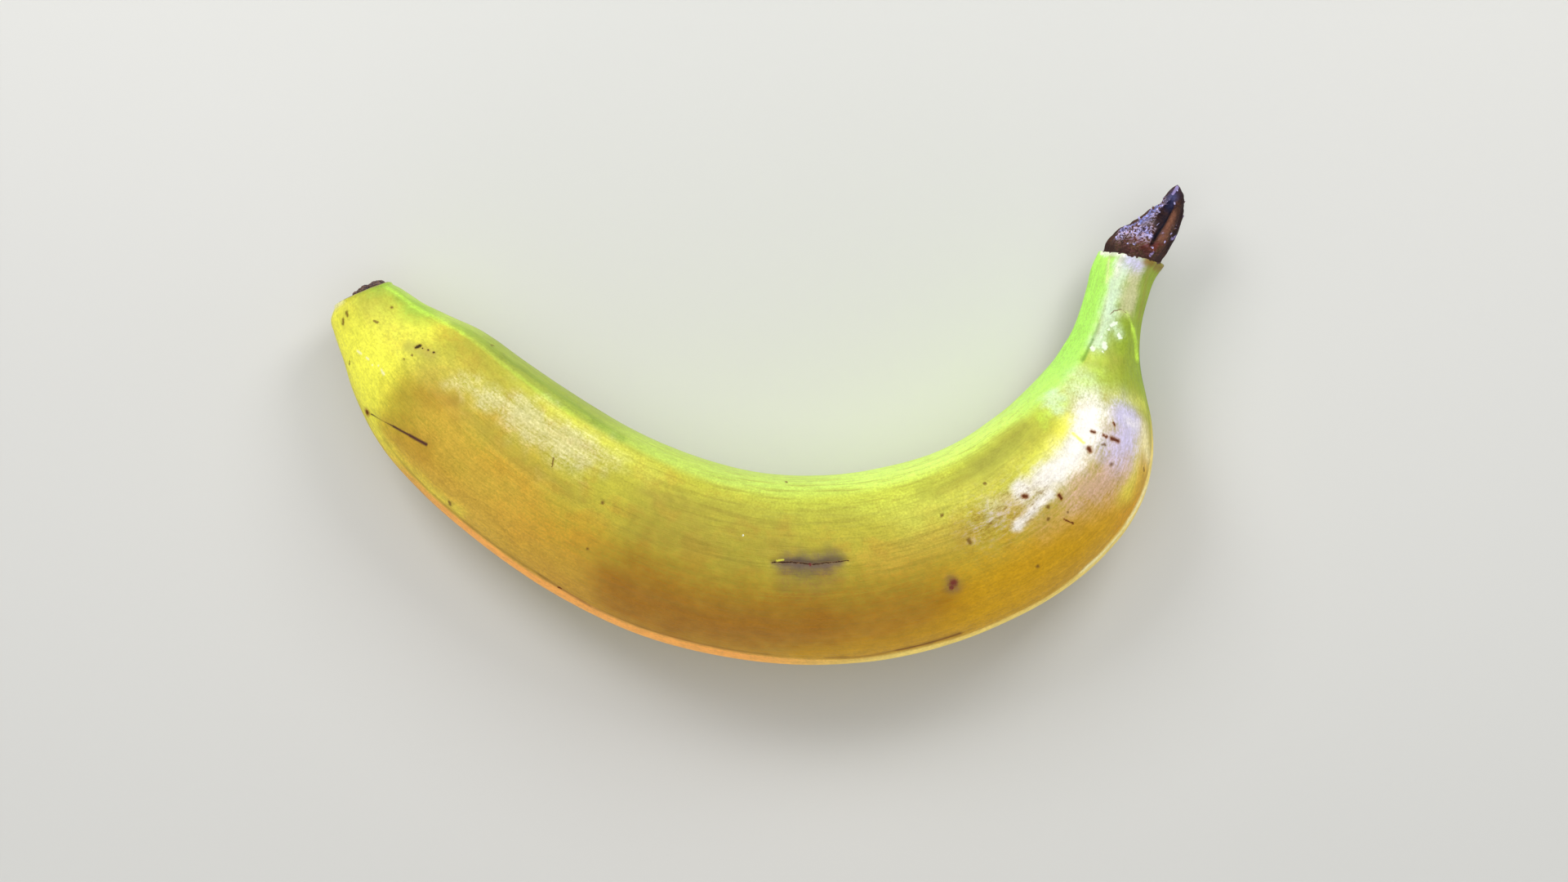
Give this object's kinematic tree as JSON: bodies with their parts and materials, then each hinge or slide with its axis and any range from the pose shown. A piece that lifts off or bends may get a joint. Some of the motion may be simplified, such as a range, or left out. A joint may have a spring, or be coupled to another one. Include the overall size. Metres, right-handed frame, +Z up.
{
  "type": "banana",
  "caption": "Single curved ripe banana with five soft ridges, a short stalk and a dried torn crown, lying on its side.",
  "frame": {"origin": "below the middle of the outline, on the surface that the fruit lies on", "axes": "+X from the blossom end to the stalk, +Y towards the hollow side of the curve, +Z up from the surface"},
  "size_m": [0.1674, 0.094, 0.0349],
  "materials": {
    "peel": "satin waxy banana peel, yellow-green to ochre, with fine lengthwise streaks, brown specks and a bruise",
    "dried_crown": "dried, fibrous, purple-brown plant tissue with pale torn fibres",
    "blossom_scar": "dark corky scar left by the flower"
  },
  "bodies": {
    "root": {"banana": "peel"}
  },
  "joints": []
}
